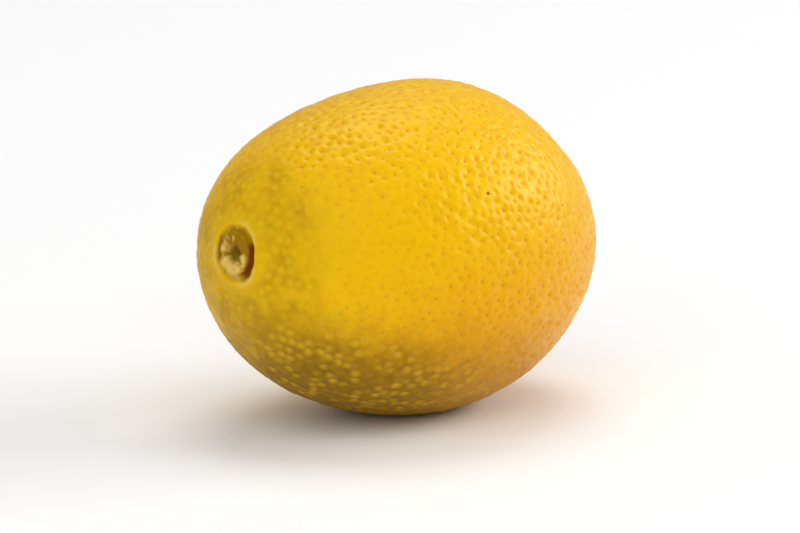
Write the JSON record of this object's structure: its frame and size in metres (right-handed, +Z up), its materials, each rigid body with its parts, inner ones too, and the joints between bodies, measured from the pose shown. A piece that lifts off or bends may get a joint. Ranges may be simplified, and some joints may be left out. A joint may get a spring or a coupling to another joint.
{
  "type": "kumquat",
  "caption": "Ripe oval kumquat with a pitted golden rind, olive tinted round the corky stem scar, lying on its side on a small flat spot.",
  "frame": {"origin": "on the surface that the fruit rests on, under the middle of its bounding box", "axes": "+X along the fruit's length, from the stem end towards the style end; +Z up; +Y across it"},
  "size_m": [0.038, 0.0276, 0.0274],
  "materials": {
    "rind": "semi-gloss citrus rind with fine oil-gland pits, olive gold at the stem end turning golden orange"
  },
  "bodies": {
    "root": {"kumquat": "rind"}
  },
  "joints": []
}
